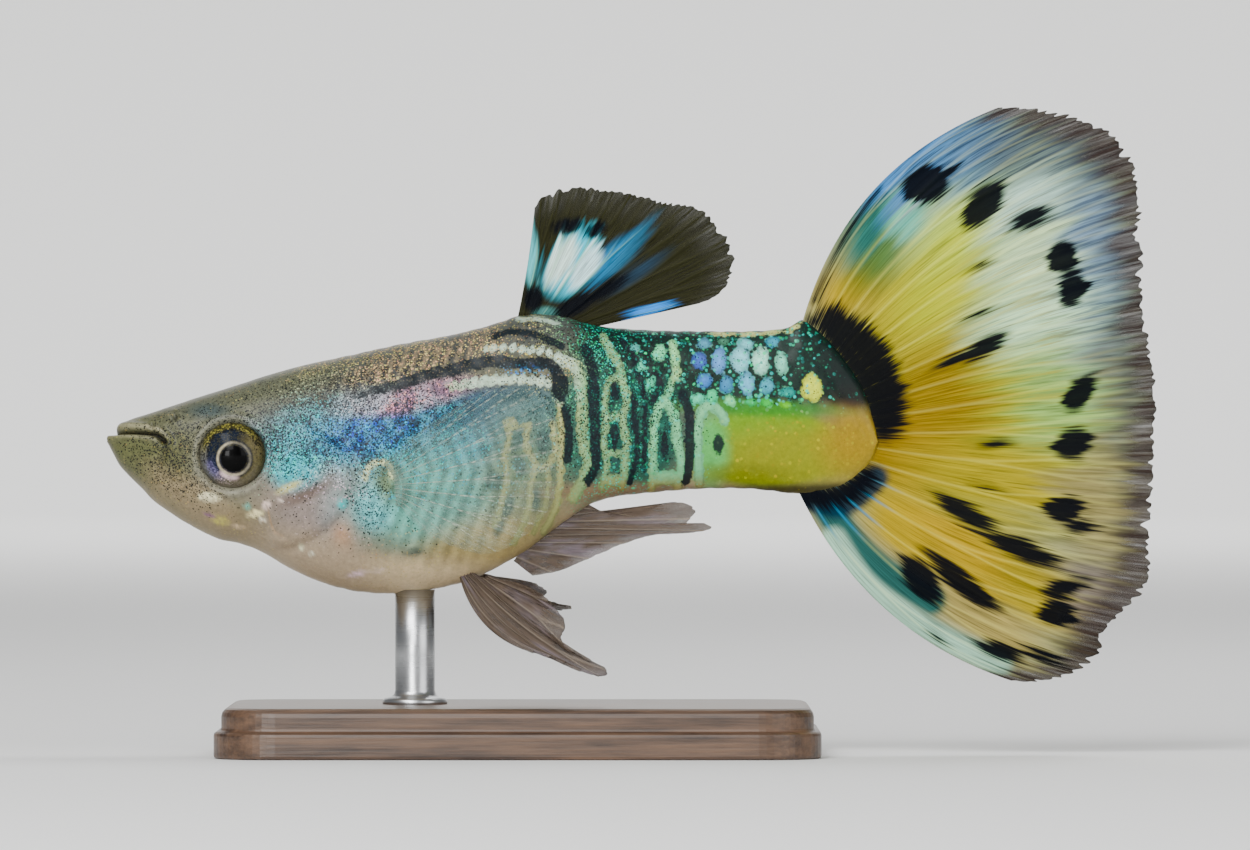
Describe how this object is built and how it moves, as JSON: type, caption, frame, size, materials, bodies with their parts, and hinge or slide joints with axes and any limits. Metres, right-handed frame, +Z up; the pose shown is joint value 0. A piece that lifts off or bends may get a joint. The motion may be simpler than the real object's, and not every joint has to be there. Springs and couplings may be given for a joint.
{
  "type": "fancy guppy",
  "caption": "Life-size still model of a male fancy guppy with a wide fan tail, held above a plain base by a short upright rod.",
  "frame": {"origin": "centre of the bounding box at the underside of the stand's base", "axes": "+X from snout to tail, +Y to the fish's right side, +Z up"},
  "size_m": [0.0422, 0.016, 0.0259],
  "materials": {
    "head_skin": "wet scaly skin, olive with gold glints",
    "gill_cover": "wet pearly skin, lilac and gold",
    "eye": "clear glossy eye with a silver gold ring",
    "body_skin": "wet scaly skin, blue and cream with dark bars",
    "stalk_skin": "wet scaly skin, green and yellow",
    "dorsal_membrane": "thin wet fin, smoky with a pale blue patch",
    "tail_membrane": "thin wet fin, yellow and pale blue with black spots",
    "clear_membrane": "thin see-through fin",
    "lower_membrane": "thin pale brown fin",
    "stand_wood": "dark oiled wood",
    "stand_steel": "brushed steel rod"
  },
  "bodies": {
    "root": {"head": "head_skin", "lower_jaw": "head_skin", "gill_cover_left": "gill_cover", "gill_cover_right": "gill_cover", "eye_left": "eye", "eye_right": "eye", "trunk": "body_skin", "tail_stalk": "stalk_skin", "dorsal_fin": "dorsal_membrane", "caudal_fin": "tail_membrane", "pectoral_fin_left": "clear_membrane", "pectoral_fin_right": "clear_membrane", "pelvic_fin_left": "lower_membrane", "pelvic_fin_right": "lower_membrane", "anal_fin": "lower_membrane", "stand_base": "stand_wood", "stand_rod": "stand_steel"}
  },
  "joints": []
}
